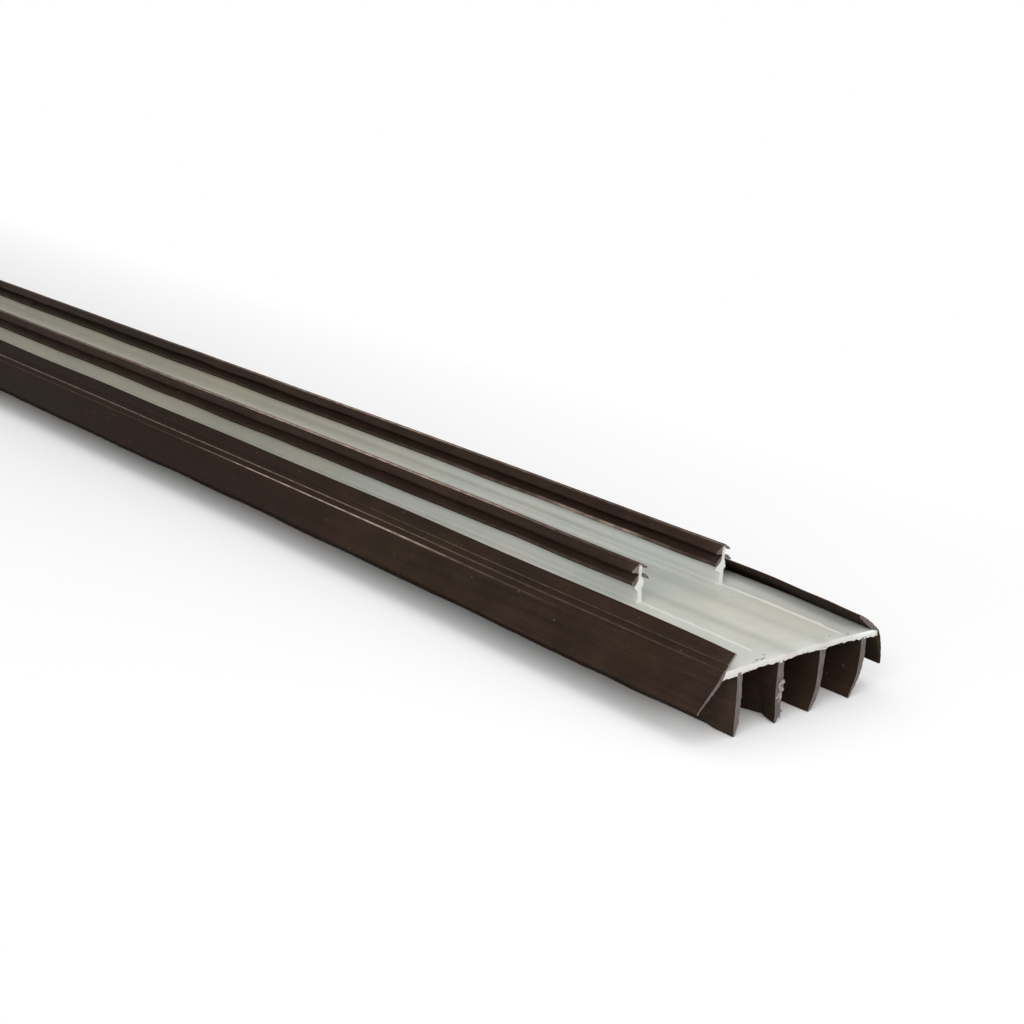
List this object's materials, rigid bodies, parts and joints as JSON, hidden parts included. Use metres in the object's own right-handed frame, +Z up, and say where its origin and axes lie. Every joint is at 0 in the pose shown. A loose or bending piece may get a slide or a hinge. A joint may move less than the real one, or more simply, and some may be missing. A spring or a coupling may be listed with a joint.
{
  "type": "kerf-in door sweep",
  "caption": "Door bottom seal strip: a rigid off-white plate with barbed kerf legs on top, soft brown fins below, and a soft lip and flap along both edges.",
  "frame": {"origin": "on the floor under the middle of the strip, where the tips of the fins stand", "axes": "+X along the strip, +Y across it from the door's front face to its back face, +Z up into the door"},
  "size_m": [0.9144, 0.0512, 0.022],
  "materials": {
    "rigid_vinyl": "rigid off-white vinyl, satin",
    "soft_vinyl": "soft dark brown vinyl, dull satin"
  },
  "bodies": {
    "root": {"base_strip": "rigid_vinyl", "front_flap": "soft_vinyl", "rear_flap": "soft_vinyl", "fin_1": "soft_vinyl", "fin_2": "soft_vinyl", "fin_3": "soft_vinyl", "fin_4": "soft_vinyl", "front_leg_cap": "soft_vinyl", "front_leg_front_barb": "soft_vinyl", "front_leg_rear_barb": "soft_vinyl", "rear_leg_cap": "soft_vinyl", "rear_leg_front_barb": "soft_vinyl", "rear_leg_rear_barb": "soft_vinyl"}
  },
  "joints": []
}
